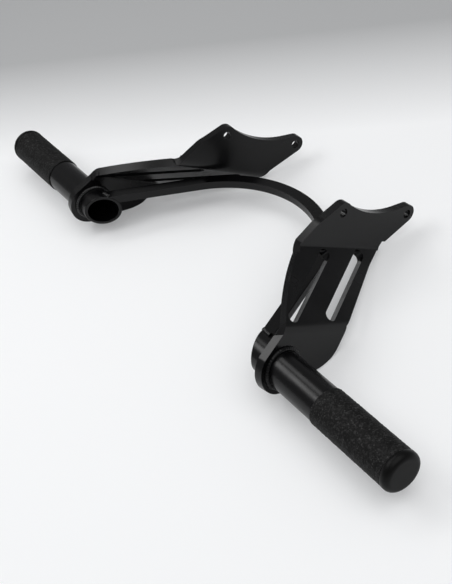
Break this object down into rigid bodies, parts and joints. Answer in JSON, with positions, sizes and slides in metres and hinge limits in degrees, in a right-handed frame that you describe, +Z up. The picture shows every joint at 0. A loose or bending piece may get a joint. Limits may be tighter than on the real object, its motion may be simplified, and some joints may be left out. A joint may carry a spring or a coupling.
{
  "type": "motorcycle rearset",
  "caption": "Welded steel rearset: foot peg tubes through bent bracket plates with slots and bolt ears, joined by an arched bar, with grit sleeves and rounded end caps.",
  "frame": {"origin": "middle of the footprint on the table, under the part's bounding box", "axes": "+X along the pegs towards the right side, +Y from the pegs towards the bolt ears, +Z up"},
  "size_m": [0.641, 0.2374, 0.0815],
  "materials": {
    "powder_coat": "satin black powder coat",
    "grip_coat": "coarse grit, matte black",
    "cap_plastic": "smooth satin black",
    "coated_weld": "rippled weld bead under black powder coat"
  },
  "bodies": {
    "root": {"arch_bar": "powder_coat", "bracket_plate_right": "powder_coat", "bracket_plate_left": "powder_coat", "peg_tube_right": "powder_coat", "peg_tube_left": "powder_coat", "grip_sleeve_right": "grip_coat", "grip_sleeve_left": "grip_coat", "end_cap_right": "cap_plastic", "end_cap_left": "cap_plastic", "weld_outer_right": "coated_weld", "weld_outer_left": "coated_weld", "weld_inner_right": "coated_weld", "weld_inner_left": "coated_weld", "weld_arch_right": "coated_weld", "weld_arch_left": "coated_weld"}
  },
  "joints": []
}
